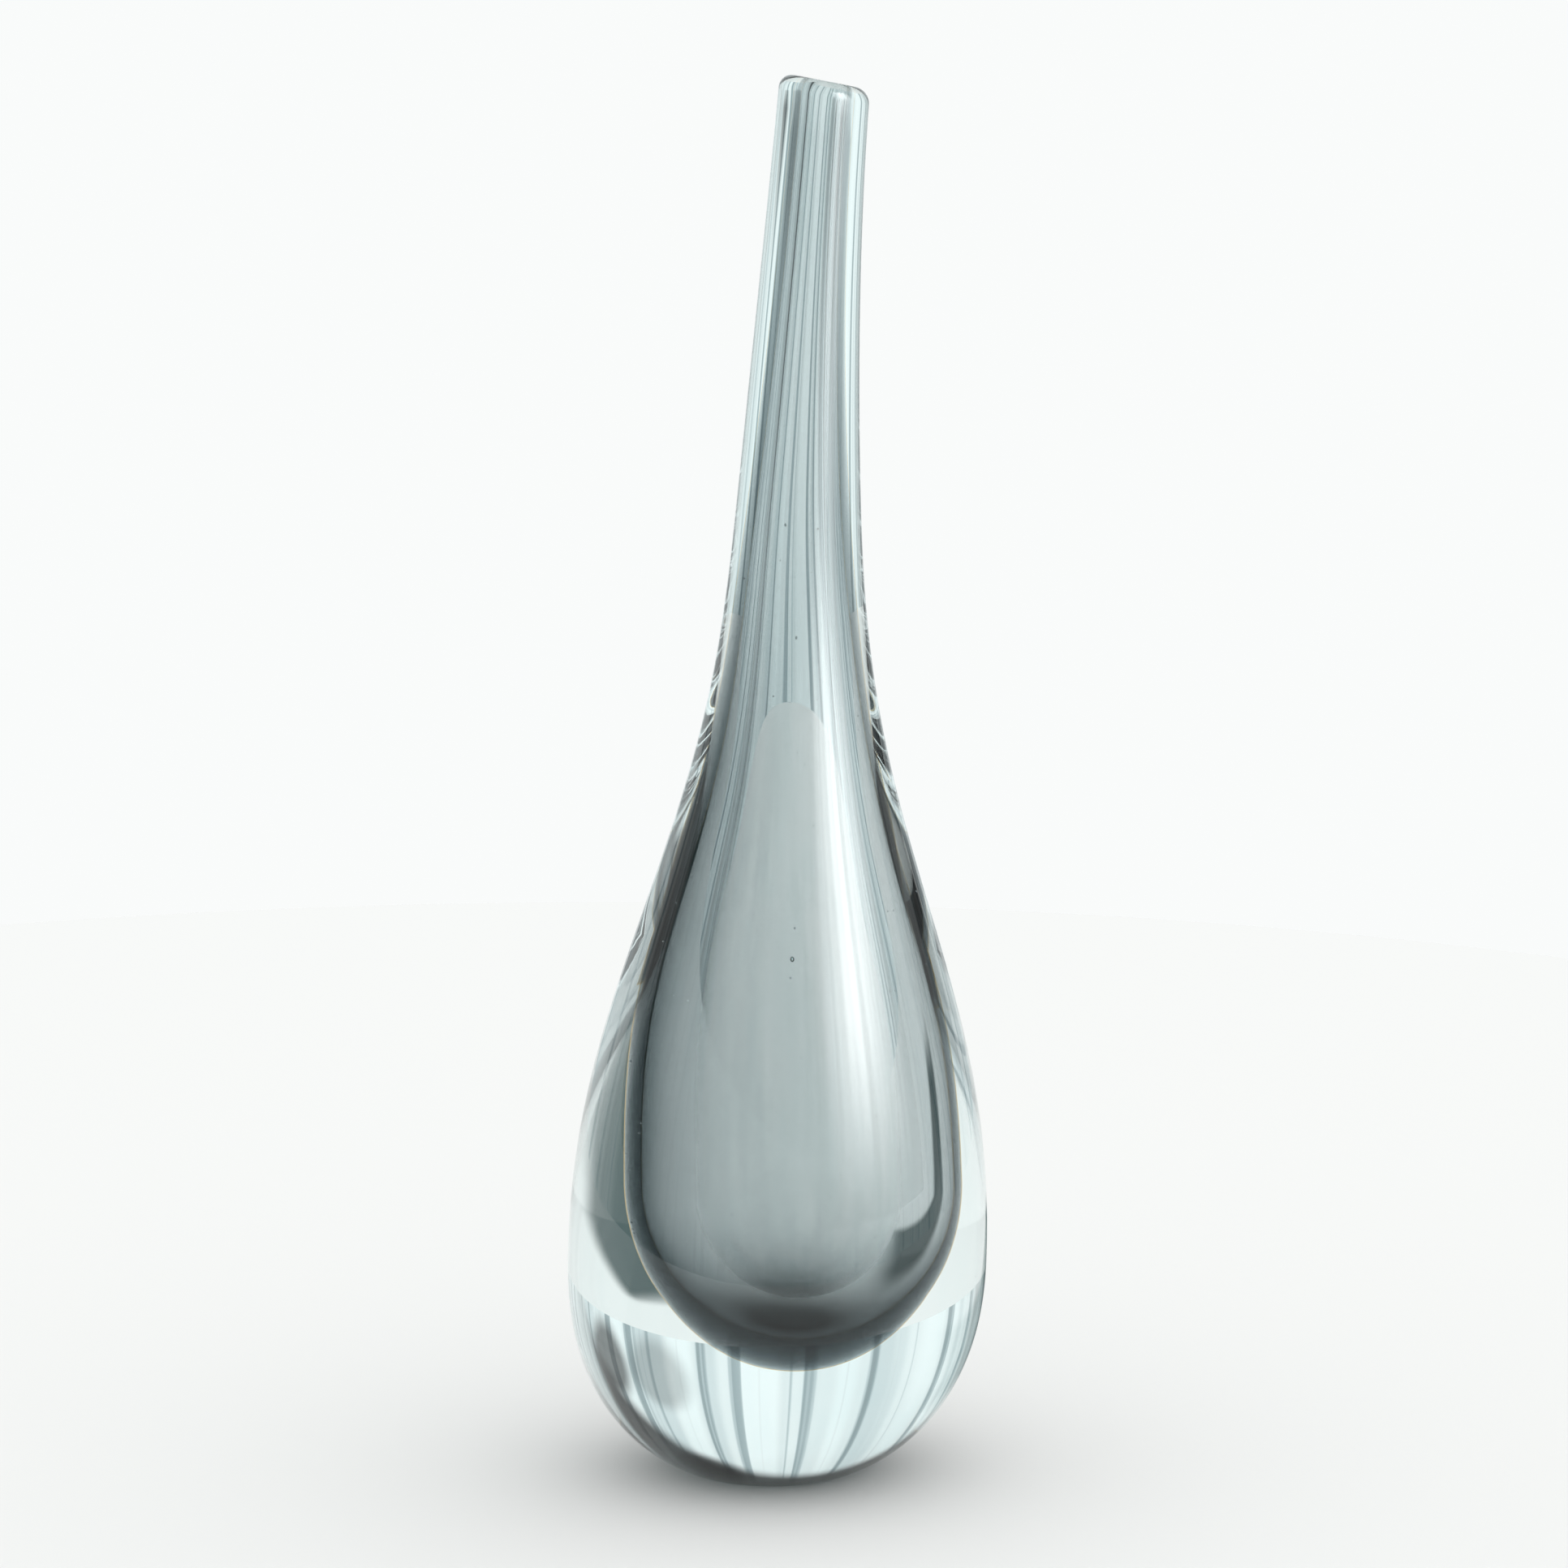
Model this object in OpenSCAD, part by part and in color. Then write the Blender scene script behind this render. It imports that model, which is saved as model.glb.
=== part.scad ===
// Hand blown cased-glass vase: a thin smoke-grey bulb and neck of glass, blown first, then
// gathered over with thick clear glass. The vase stands on a flat ground foot, swells to a
// round belly and is drawn up into a long, slightly leaning neck with a slanting, fire-polished lip.
// Millimetres, +Z up. The origin is the middle of the foot, on the surface that it stands on,
// and +X is the side that the neck leans to.

/* [Clear casing] */
// Height of the middle of the lip above the table
vase_height = 430; // [345:1:540]
// Radius of the clear glass at the widest part of the belly
body_radius = 65.3; // [54:0.1:80]
// Height of the widest part of the belly
belly_height = 68; // [55:1:84]
// Radius of the flat ground foot
foot_radius = 26; // [20:0.5:34]
// Squareness of the round under the belly: 2 is an ellipse, more is fuller
belly_fullness = 2.27; // [1.8:0.01:2.8]
// Height at which the shoulder has run out into the neck
shoulder_end = 309; // [250:1:340]
// Steepness of the shoulder: more is steeper
shoulder_power = 3.27; // [2:0.01:5]
// Radius of the neck just under the lip
lip_radius = 13.9; // [11.5:0.1:20]
// How much wider than the lip the neck's own taper would be down at the belly
neck_flare = 28.8; // [10:0.1:36]
// Curve of that taper: 1 is a straight cone, more flares later
neck_flare_power = 1.66; // [1:0.01:2.5]
// Radius of the rounding on the outside of the lip
lip_round = 3; // [1:0.1:4]

/* [Smoke lining] */
// Thickness of the solid clear glass between the foot and the lining
base_glass = 40.5; // [30:0.5:50]
// Radius of the lining's bulb at its widest, on its outside
bulb_radius = 35; // [26:0.1:42]
// Height of the widest part of the bulb
bulb_height = 90; // [75:1:108]
// Squareness of the round under the bulb: 2 is an ellipse
bulb_fullness = 2.1; // [1.8:0.01:2.6]
// Height at which the bulb has run out into the lining's neck
bulb_end = 310; // [250:1:340]
// Steepness of the bulb's shoulder: more is steeper
bulb_power = 6; // [3:0.1:8]
// Outer radius of the lining at the lip
lining_lip_radius = 6.15; // [5.1:0.05:8]
// How much wider than at the lip the lining's own taper would be at the bulb
lining_flare = 27.3; // [15:0.1:29]
// Curve of that taper
lining_flare_power = 1.9; // [1.2:0.01:2.5]
// Thickness of the lining's wall at the bulb
bulb_wall = 2.6; // [1.8:0.1:4.5]
// Thickness of the lining's wall at the lip
lip_wall = 1.6; // [0.8:0.05:2.4]
// Thickness of the lining at the bottom of the bulb
bulb_floor = 8; // [3:0.1:12]

/* [Hand-made drift] */
// How far the lip has leant towards +X from over the foot, by the lean of the whole vase
body_lean = 11.8; // [0:0.1:20]
// How much further the neck alone bends over
neck_bend = 4.6; // [0:0.1:12]
// Height at which the neck starts to bend
bend_start = 269; // [200:1:300]
// How far the bottom of the bulb sits off the middle of the casing, towards +X
bulb_offset = 4; // [0:0.1:6]
// Height at which the bulb's sideways drift has died out
offset_end = 200; // [150:1:240]
// How far the cavity sits off the middle of the bulb, towards +X, so one side of the wall is thicker
wall_drift = 1; // [0:0.1:1.5]
// Slope of the lip, falling towards +X, in degrees
lip_tilt = 11; // [0:0.5:15]
// Length of neck over which the slope comes in
tilt_length = 130; // [80:1:180]

/* [Hidden] */
// Points round every ring of glass, the same on both pieces so that they meet face to face
sides = 40;
// Rings up the belly's round, up the rest of the casing, and round the lip
round_rings = 12;
casing_rings = 30;
lip_rings = 5;
// Rings up the bulb's round and up the rest of the lining
bulb_rings = 12;
lining_rings = 26;
// Smallest ring, as a share of the bulb's radius, before the skin closes on its bottom point
closing_share = 0.12;

// 0 at and below 0, 1 at and above 1, with a smooth start and finish
function ease(u) = let (t = min(max(u, 0), 1)) t * t * (3 - 2 * t);

// Radius at a share of the height from the bottom point of a round (0) up to its widest part (1)
function round_radius(widest, share, fullness) =
    widest * pow(max(1 - pow(1 - share, fullness), 0), 1 / fullness);

// The share of the height at which that round has the given radius
function share_at(widest, radius, fullness) =
    1 - pow(1 - pow(radius / widest, fullness), 1 / fullness);

// Radius of the neck's own taper, which flares from the lip down to the widest part
function taper(z, low, lip, flare, power) =
    lip + flare * pow(max((vase_height - z) / (vase_height - low), 0), power);

// Radius above the widest part: the swelling runs out into the taper along a power of a cosine
function drawn_radius(z, low, run_out, widest, lip, flare, taper_power, fall_power) =
    let (own = taper(z, low, lip, flare, taper_power),
         run = min(max((z - low) / (run_out - low), 0), 1))
    own + (widest - own) * pow(cos(90 * run), fall_power);

// The foot is where the belly's round is cut off flat, so the round's own bottom lies below it
foot_share = share_at(body_radius, foot_radius, belly_fullness);

// Outer radius of the clear casing at a height
function casing_radius(z) =
    z < belly_height
    ? round_radius(body_radius, foot_share + (1 - foot_share) * z / belly_height, belly_fullness)
    : drawn_radius(z, belly_height, shoulder_end, body_radius, lip_radius, neck_flare,
                   neck_flare_power, shoulder_power);

// Outer radius of the smoke lining at a height
function lining_radius(z) =
    z < bulb_height
    ? round_radius(bulb_radius, (z - base_glass) / (bulb_height - base_glass), bulb_fullness)
    : drawn_radius(z, bulb_height, bulb_end, bulb_radius, lining_lip_radius, lining_flare,
                   lining_flare_power, bulb_power);

// Height of the cavity's bottom point, and the radius of the cavity at a height
cavity_floor = base_glass + bulb_floor;
function lining_wall(z) =
    bulb_wall + (lip_wall - bulb_wall) * ease((z - bulb_height) / (vase_height - bulb_height));
function cavity_radius(z) =
    z < bulb_height
    ? round_radius(bulb_radius - bulb_wall, (z - cavity_floor) / (bulb_height - cavity_floor),
                   bulb_fullness)
    : lining_radius(z) - lining_wall(z);

// Sideways place of the casing's middle, and of the lining's, at a height
function casing_middle(z) =
    body_lean * z / vase_height
    + neck_bend * pow(max(z - bend_start, 0) / (vase_height - bend_start), 2);
function lining_middle(z) =
    casing_middle(z) + bulb_offset * (1 - ease((z - base_glass) / (offset_end - base_glass)));

// The cavity's middle has drifted further, and comes back under the lining's in the neck
function cavity_middle(z) =
    lining_middle(z) + wall_drift * (1 - ease((z - offset_end) / (shoulder_end - offset_end)));

// Slope of the ring at a height
function tilt(z) = lip_tilt * ease((z - vase_height + tilt_length) / tilt_length);

// One ring of points round a middle, sloping down towards +X
function ring(z, middle, radius) =
    [for (i = [0 : sides - 1])
        let (a = 360 * i / sides, across = radius * cos(a))
        [middle + across * cos(tilt(z)), radius * sin(a), z - across * sin(tilt(z))]];

// Heights that rise from a to b in n equal steps, without the last
function steps(a, b, n) = [for (i = [0 : n - 1]) a + (b - a) * i / n];

// Heights up a round, spaced by angle so that they crowd at the bottom where it curves in
function round_heights(low, high, from_angle, n) =
    [for (i = [0 : n - 1])
        let (a = from_angle + (90 - from_angle) * i / n)
        high - (high - low) * (cos(a) / cos(from_angle))];

// The casing's outside, from the rim of the foot up to where the lip starts to round over
casing_heights = concat(
    round_heights(0, belly_height, 90 * foot_share, round_rings),
    steps(belly_height, vase_height - lip_round, casing_rings));

// The rounded lip, as [height, radius] from the outside in
lip_edge = [for (i = [0 : lip_rings])
    let (a = 90 * i / lip_rings)
    [vase_height - lip_round + lip_round * sin(a),
     casing_radius(vase_height - lip_round) - lip_round * (1 - cos(a))]];

// The face between the casing and the lining, from just above the bulb's bottom to the lip
joint_low = base_glass
    + (bulb_height - base_glass) * share_at(bulb_radius, bulb_radius * closing_share, bulb_fullness);
joint_heights = concat(
    round_heights(joint_low, bulb_height, 0, bulb_rings),
    steps(bulb_height, vase_height, lining_rings),
    [vase_height]);

// The cavity, from just above its bottom to the lip
cavity_low = cavity_floor
    + (bulb_height - cavity_floor) * share_at(bulb_radius, bulb_radius * closing_share, bulb_fullness);
cavity_heights = concat(
    round_heights(cavity_low, bulb_height, 0, bulb_rings),
    steps(bulb_height, vase_height, lining_rings),
    [vase_height]);

casing_outside = concat(
    [for (z = casing_heights) ring(z, casing_middle(z), casing_radius(z))],
    [for (edge = lip_edge) ring(edge[0], casing_middle(edge[0]), edge[1])]);
joint_face = [for (z = joint_heights) ring(z, lining_middle(z), lining_radius(z))];
cavity_face = [for (z = cavity_heights) ring(z, cavity_middle(z), cavity_radius(z))];
joint_bottom = [lining_middle(base_glass), 0, base_glass];
cavity_bottom = [cavity_middle(cavity_floor), 0, cavity_floor];
foot_middle = [casing_middle(0), 0, 0];

// Triangles between rings of points numbered from first, facing outward, or inward if turned
function skin(first, count, turned) =
    [for (j = [0 : count - 2], i = [0 : sides - 1])
        let (a = first + j * sides + i, b = first + j * sides + (i + 1) % sides,
             c = b + sides, d = a + sides)
        each turned ? [[a, b, c], [a, c, d]] : [[a, c, b], [a, d, c]]];

// Triangles that close the ring that starts at first on one point, facing down, or up if turned
function close_below(point, first, turned) =
    [for (i = [0 : sides - 1])
        let (a = first + i, b = first + (i + 1) % sides)
        turned ? [point, b, a] : [point, a, b]];

// Triangles across the lip, from the outer ring to the inner one, facing up
function across_lip(outer, inner) =
    [for (i = [0 : sides - 1])
        let (a = outer + i, b = outer + (i + 1) % sides,
             c = inner + (i + 1) % sides, d = inner + i)
        each [[a, c, b], [a, d, c]]];

// A shell of glass between an outer and an inner stack of rings, each closed on a point below
module shell(outside, inside, outside_bottom, inside_bottom) {
    outer_count = len(outside);
    inner_count = len(inside);
    inner_first = outer_count * sides;
    bottom_first = inner_first + inner_count * sides;
    points = concat(
        [for (r = outside) each r],
        [for (r = inside) each r],
        [outside_bottom, inside_bottom]);
    faces = concat(
        skin(0, outer_count, false),
        skin(inner_first, inner_count, true),
        close_below(bottom_first, 0, false),
        close_below(bottom_first + 1, inner_first, true),
        across_lip(inner_first - sides, bottom_first - sides));
    polyhedron(points, faces, convexity = 6);
}

module clear_casing() {
    color([0.86, 0.93, 0.92, 0.45])
        shell(casing_outside, joint_face, foot_middle, joint_bottom);
}

module smoke_lining() {
    color([0.36, 0.38, 0.37, 0.8])
        shell(joint_face, cavity_face, joint_bottom, cavity_bottom);
}

clear_casing();
smoke_lining();
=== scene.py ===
# %% [markdown]
# # A hand blown vase in two glasses
# The vase is made of two glasses, one inside the other. A blower first gathers a little smoke-grey
# glass and blows a bubble in it, then dips it back into the pot several times, so that a thick coat of
# clear glass lies over the grey. The grey bubble is the *lining*, the thick coat is the *casing*.
# This lesson loads the measured solids as a fixed frame, and gives both glasses a smooth skin, a true
# refraction and a true tint. Everything is in metres, in the frame's own axes.

# %% Load the frame
import math

import bmesh
import bpy
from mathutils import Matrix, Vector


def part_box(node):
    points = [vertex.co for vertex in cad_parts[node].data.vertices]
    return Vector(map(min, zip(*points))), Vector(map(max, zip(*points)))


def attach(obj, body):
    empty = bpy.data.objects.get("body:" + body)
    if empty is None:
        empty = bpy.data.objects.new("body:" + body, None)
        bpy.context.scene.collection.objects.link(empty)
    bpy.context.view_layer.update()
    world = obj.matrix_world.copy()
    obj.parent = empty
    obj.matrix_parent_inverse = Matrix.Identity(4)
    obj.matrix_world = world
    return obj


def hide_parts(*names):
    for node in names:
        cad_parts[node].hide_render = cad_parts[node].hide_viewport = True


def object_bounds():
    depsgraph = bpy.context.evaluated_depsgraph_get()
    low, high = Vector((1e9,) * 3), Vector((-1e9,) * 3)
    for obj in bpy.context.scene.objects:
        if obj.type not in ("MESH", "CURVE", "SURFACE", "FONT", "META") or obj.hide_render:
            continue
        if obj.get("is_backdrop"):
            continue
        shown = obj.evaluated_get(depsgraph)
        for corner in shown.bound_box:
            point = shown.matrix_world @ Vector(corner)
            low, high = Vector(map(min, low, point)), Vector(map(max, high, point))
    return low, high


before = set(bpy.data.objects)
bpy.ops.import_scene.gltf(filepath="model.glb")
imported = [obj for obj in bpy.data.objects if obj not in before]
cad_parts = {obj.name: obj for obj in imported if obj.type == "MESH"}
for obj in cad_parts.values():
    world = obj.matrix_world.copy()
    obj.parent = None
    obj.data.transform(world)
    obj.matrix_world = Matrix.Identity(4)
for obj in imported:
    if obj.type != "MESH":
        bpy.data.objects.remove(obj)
SOLID_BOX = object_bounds()
print("solid model, low and high corners:", [[round(v, 4) for v in corner] for corner in SOLID_BOX])

# %% [markdown]
# ## Sizes
# The large sizes are read from the frame: how tall the vase is, how wide its belly and its grey bulb
# are, and how much solid glass lies under the bulb. The rest are the few numbers that a drawn neck and
# a round belly need, as a glassblower would take them off with callipers.

# %% Sizes of the casing
MM = 0.001
CASING_LOW, CASING_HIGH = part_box("clear_casing")
LIP_SLOPE = math.radians(11)
TILT_LENGTH = 130 * MM
LIP_RADIUS = 13.9 * MM
LIP_ROUND = 3 * MM
# The highest point is on the high side of the sloping lip, where its flat top meets its rounding
LIP_HEIGHT = CASING_HIGH.z - (LIP_RADIUS - LIP_ROUND) * math.sin(LIP_SLOPE)
BODY_RADIUS = (CASING_HIGH.y - CASING_LOW.y) / 2
BELLY_HEIGHT = 68 * MM
FOOT_RADIUS = 26 * MM
FOOT_ROLL = 1.5 * MM
BELLY_FULLNESS = 2.27
SHOULDER_END = 309 * MM
SHOULDER_POWER = 3.27
NECK_FLARE = 28.8 * MM
NECK_FLARE_POWER = 1.66
print(f"the middle of the lip is {LIP_HEIGHT / MM:.1f} mm up")
print(f"the belly is {BODY_RADIUS / MM:.1f} mm in radius")

# %% Sizes of the lining, and how both drift
LINING_LOW, LINING_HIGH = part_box("smoke_lining")
BULB_RADIUS = (LINING_HIGH.y - LINING_LOW.y) / 2
BASE_GLASS = LINING_LOW.z
BULB_HEIGHT = 90 * MM
BULB_FULLNESS = 2.1
BULB_END = 310 * MM
BULB_POWER = 6
LINING_LIP_RADIUS = 6.15 * MM
LINING_FLARE = 27.3 * MM
LINING_FLARE_POWER = 1.9
BULB_WALL = 2.6 * MM
LIP_WALL = 1.6 * MM
BULB_FLOOR = 8 * MM
CAVITY_FLOOR = BASE_GLASS + BULB_FLOOR
BODY_LEAN = 11.8 * MM
NECK_BEND = 4.6 * MM
BEND_START = 269 * MM
BULB_OFFSET = 4 * MM
OFFSET_END = 200 * MM
WALL_DRIFT = 1 * MM
print(f"the bulb is {BULB_RADIUS / MM:.1f} mm in radius, over {BASE_GLASS / MM:.1f} mm of clear glass")

# %% [markdown]
# ## The shape as a rule
# A blown shape is round and smooth, so it is better written as a rule than drawn point by point.
# Below its widest part each glass is a *superellipse*, an ellipse with a squareness that can be set.
# Above, it swells from the neck's own slender taper by a power of a cosine, which starts and ends
# without a corner. Refraction shows the smallest corner in a curve, so this smoothness matters.

# %% Curves that the outlines are made of
def ease(u):
    t = min(max(u, 0.0), 1.0)
    return t * t * (3 - 2 * t)


def round_radius(widest, share, fullness):
    return widest * max(1 - (1 - share) ** fullness, 0.0) ** (1 / fullness)


def share_at(widest, radius, fullness):
    return 1 - (1 - (radius / widest) ** fullness) ** (1 / fullness)


def drawn_radius(z, low, run_out, widest, lip, flare, taper_power, fall_power):
    taper = lip + flare * max((LIP_HEIGHT - z) / (LIP_HEIGHT - low), 0.0) ** taper_power
    run = min(max((z - low) / (run_out - low), 0.0), 1.0)
    return taper + (widest - taper) * max(math.cos(math.pi / 2 * run), 0.0) ** fall_power


print(f"half way up a round of 10, the radius is {round_radius(10, 0.5, BELLY_FULLNESS):.2f}")


# %% Radius of each skin at a height
FOOT_SHARE = share_at(BODY_RADIUS, FOOT_RADIUS, BELLY_FULLNESS)


def casing_radius(z):
    if z < BELLY_HEIGHT:
        share = FOOT_SHARE + (1 - FOOT_SHARE) * z / BELLY_HEIGHT
        return round_radius(BODY_RADIUS, share, BELLY_FULLNESS)
    return drawn_radius(z, BELLY_HEIGHT, SHOULDER_END, BODY_RADIUS, LIP_RADIUS, NECK_FLARE,
                        NECK_FLARE_POWER, SHOULDER_POWER)


def lining_radius(z, inset=0.0):
    """The lining's outside, or a skin that lies inset inside it."""
    if z < BULB_HEIGHT:
        low = BASE_GLASS + inset
        return round_radius(BULB_RADIUS - inset, (z - low) / (BULB_HEIGHT - low), BULB_FULLNESS)
    return drawn_radius(z, BULB_HEIGHT, BULB_END, BULB_RADIUS, LINING_LIP_RADIUS, LINING_FLARE,
                        LINING_FLARE_POWER, BULB_POWER) - inset


def cavity_radius(z, inset=0.0):
    """The cavity, or a skin that lies inset outside it, in the glass."""
    if z < BULB_HEIGHT:
        low = CAVITY_FLOOR - inset
        share = (z - low) / (BULB_HEIGHT - low)
        return round_radius(BULB_RADIUS - BULB_WALL + inset, share, BULB_FULLNESS)
    wall = BULB_WALL + (LIP_WALL - BULB_WALL) * ease((z - BULB_HEIGHT) / (LIP_HEIGHT - BULB_HEIGHT))
    return lining_radius(z) - wall + inset


wall_there = lining_radius(BULB_HEIGHT) - cavity_radius(BULB_HEIGHT)
print(f"the bulb's wall is {wall_there / MM:.1f} mm thick")


# %% Where the middle of each ring has drifted to, and how far it slopes
def casing_middle(z):
    bend = max(z - BEND_START, 0.0) / (LIP_HEIGHT - BEND_START)
    return BODY_LEAN * z / LIP_HEIGHT + NECK_BEND * bend ** 2


def lining_middle(z):
    return casing_middle(z) + BULB_OFFSET * (1 - ease((z - BASE_GLASS) / (OFFSET_END - BASE_GLASS)))


def cavity_middle(z):
    return lining_middle(z) + WALL_DRIFT * (1 - ease((z - OFFSET_END) / (SHOULDER_END - OFFSET_END)))


def slope(z):
    return LIP_SLOPE * ease((z - LIP_HEIGHT + TILT_LENGTH) / TILT_LENGTH)


for z in (0, BELLY_HEIGHT, SHOULDER_END, LIP_HEIGHT):
    print(f"at {z / MM:5.0f} mm the casing is {casing_radius(z) / MM:5.1f} mm in radius")

# %% [markdown]
# ## Skins of glass
# Each glass is a closed shell of rings: up its outside, over the lip and down its inside. A ring of
# blown glass is a circle, and many points round it keep the edge clean when it is magnified by the
# glass in front. An edge where two skins meet at an angle is marked sharp, so that the shading, and
# with it the refraction, isn't smoothed round it.

# %% Rings, and a shell made of them
SIDES = 224


def ring(z, middle, radius):
    points = []
    for i in range(SIDES):
        across = radius * math.cos(2 * math.pi * i / SIDES)
        deep = radius * math.sin(2 * math.pi * i / SIDES)
        points.append((middle + across * math.cos(slope(z)), deep, z - across * math.sin(slope(z))))
    return points


def add_shell(shape, rings, slots, first_point, last_point, polished, sharp=()):
    """Adds a closed shell that ends on a point at each end. slots gives the material of the band that
    leads to each ring. Only the polished slot is shaded smooth, and sharp lists its edge rings."""
    loops = [[shape.verts.new(p) for p in points] for points in rings]
    first = shape.verts.new(first_point)
    last = shape.verts.new(last_point)
    for i in range(SIDES):
        k = (i + 1) % SIDES
        shape.faces.new((first, loops[0][k], loops[0][i])).material_index = slots[0]
        shape.faces.new((last, loops[-1][i], loops[-1][k])).material_index = slots[-1]
        for j in range(len(loops) - 1):
            corners = (loops[j][i], loops[j][k], loops[j + 1][k], loops[j + 1][i])
            shape.faces.new(corners).material_index = slots[j + 1]
    for face in shape.faces:
        face.smooth = face.smooth or face.material_index == polished
    for j in sharp:
        for i in range(SIDES):
            shape.edges.get((loops[j][i], loops[j][(i + 1) % SIDES])).smooth = False


def finish_piece(name, shape, materials):
    mesh = bpy.data.meshes.new(name)
    shape.to_mesh(mesh)
    shape.free()
    for material in materials:
        mesh.materials.append(material)
    piece = bpy.data.objects.new(name, mesh)
    bpy.context.collection.objects.link(piece)
    print(f"{name}: {len(mesh.vertices)} points, {len(mesh.polygons)} faces")
    return piece


def up_a_round(low, high, count):
    """Heights that crowd at the bottom of a round, where it curves in."""
    return [high - (high - low) * math.cos(math.pi / 2 * i / count) for i in range(count)]


def up_a_neck(low, high, count):
    return [low + (high - low) * i / count for i in range(count + 1)]


print(f"each ring has {SIDES} points")


# %% [markdown]
# ## Wiring
# Three small helpers wire shader nodes. The same ones serve the glasses, the table and the room.

# %% Helpers for shader nodes
def plug(tree, socket, value):
    if isinstance(value, bpy.types.NodeSocket):
        tree.links.new(value, socket)
    else:
        socket.default_value = value


def maths(tree, operation, *values):
    node = tree.nodes.new("ShaderNodeMath")
    node.operation = operation
    for socket, value in zip(node.inputs, values):
        plug(tree, socket, value)
    return node.outputs[0]


def spread(tree, value, low, high, to_low, to_high, smooth=True):
    """Carries a value from one range to another, held at both ends."""
    node = tree.nodes.new("ShaderNodeMapRange")
    node.interpolation_type = "SMOOTHSTEP" if smooth else "LINEAR"
    numbers = (("Value", value), ("From Min", low), ("From Max", high),
               ("To Min", to_low), ("To Max", to_high))
    for name, number in numbers:
        plug(tree, node.inputs[name], number)
    return node.outputs["Result"]


print("the shader helpers are plug, maths and spread")


# %% [markdown]
# ## What a hand leaves in glass
# Molten glass is never quite even. Slightly different melts are drawn out as *cords*, long streaks that
# run the way the neck was pulled, and the tools leave a very soft unevenness on the skin. Both glasses
# share these, so they are one node group, which gives a colour and a normal.

# %% The drawn-glass group
CORD_STRETCH = 0.06
CORDS_PER_METRE = 95
TOOL_MARKS_PER_METRE = 26
TOOL_MARK_DEPTH = 0.3 * MM


def make_drawn_glass():
    group = bpy.data.node_groups.new("drawn_glass", "ShaderNodeTree")
    group.interface.new_socket("Glass Colour", in_out="INPUT", socket_type="NodeSocketColor")
    group.interface.new_socket("Cord Colour", in_out="INPUT", socket_type="NodeSocketColor")
    group.interface.new_socket("Unevenness", in_out="INPUT", socket_type="NodeSocketFloat")
    group.interface.new_socket("Colour", in_out="OUTPUT", socket_type="NodeSocketColor")
    group.interface.new_socket("Normal", in_out="OUTPUT", socket_type="NodeSocketVector")
    given = group.nodes.new("NodeGroupInput")
    result = group.nodes.new("NodeGroupOutput")
    where = group.nodes.new("ShaderNodeTexCoord")
    drawn = group.nodes.new("ShaderNodeMapping")
    drawn.inputs["Scale"].default_value = (1, 1, CORD_STRETCH)
    group.links.new(where.outputs["Object"], drawn.inputs["Vector"])
    cords = group.nodes.new("ShaderNodeTexNoise")
    cords.inputs["Scale"].default_value = CORDS_PER_METRE
    cords.inputs["Detail"].default_value = 3
    group.links.new(drawn.outputs["Vector"], cords.inputs["Vector"])
    colour = group.nodes.new("ShaderNodeMix")
    colour.data_type = "RGBA"
    group.links.new(spread(group, cords.outputs[0], 0.42, 0.68, 0, 1), colour.inputs["Factor"])
    group.links.new(given.outputs["Glass Colour"], colour.inputs[6])
    group.links.new(given.outputs["Cord Colour"], colour.inputs[7])
    group.links.new(colour.outputs[2], result.inputs["Colour"])
    tooled = group.nodes.new("ShaderNodeTexNoise")
    tooled.inputs["Scale"].default_value = TOOL_MARKS_PER_METRE
    tooled.inputs["Detail"].default_value = 1
    group.links.new(where.outputs["Object"], tooled.inputs["Vector"])
    skin = group.nodes.new("ShaderNodeBump")
    skin.inputs["Distance"].default_value = TOOL_MARK_DEPTH
    group.links.new(given.outputs["Unevenness"], skin.inputs["Strength"])
    group.links.new(maths(group, "ADD", cords.outputs[0], tooled.outputs[0]), skin.inputs["Height"])
    group.links.new(skin.outputs[0], result.inputs["Normal"])
    return group


drawn_glass = make_drawn_glass()
given_out = [item.name for item in drawn_glass.interface.items_tree if item.in_out == "OUTPUT"]
print("the drawn-glass group gives", given_out)


# %% [markdown]
# ## Four skins
# *Clear glass* and the *cavity's glass* meet the air, so they bend light (index 1.5). The *smoke glass*
# and the *fused* face lie wholly inside glass, so they don't (index 1). Only the smoke glass absorbs
# light on its way, so its tint depends on how far the light has come. Seen edge on, the fused face has a
# thin golden line, a painted glint that stands in for light split into colours.

# %% The four skins of glass
GLASS_INDEX = 1.5
NO_BENDING = 1.0
SMOKE_TINT = (0.10, 0.165, 0.19)
SMOKE_DENSITY = 118.0
# A painted glint: the golden colour that the fused face takes where it is seen edge on, and the facing range
# that it fades in over
PAINTED_GLINT = (1.0, 0.70, 0.34)
PAINTED_GLINT_FACING = (0.86, 0.95)


def glass(name, colour, cord_colour, index, unevenness):
    material = bpy.data.materials.new(name)
    material.use_nodes = True
    tree = material.node_tree
    shader = tree.nodes["Principled BSDF"]
    shader.inputs["Roughness"].default_value = 0.0
    shader.inputs["IOR"].default_value = index
    shader.inputs["Transmission Weight"].default_value = 1.0
    hand = tree.nodes.new("ShaderNodeGroup")
    hand.node_tree = drawn_glass
    hand.inputs["Glass Colour"].default_value = (*colour, 1)
    hand.inputs["Cord Colour"].default_value = (*cord_colour, 1)
    hand.inputs["Unevenness"].default_value = unevenness
    tree.links.new(hand.outputs["Colour"], shader.inputs["Base Color"])
    if unevenness:
        tree.links.new(hand.outputs["Normal"], shader.inputs["Normal"])
    return material


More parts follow.
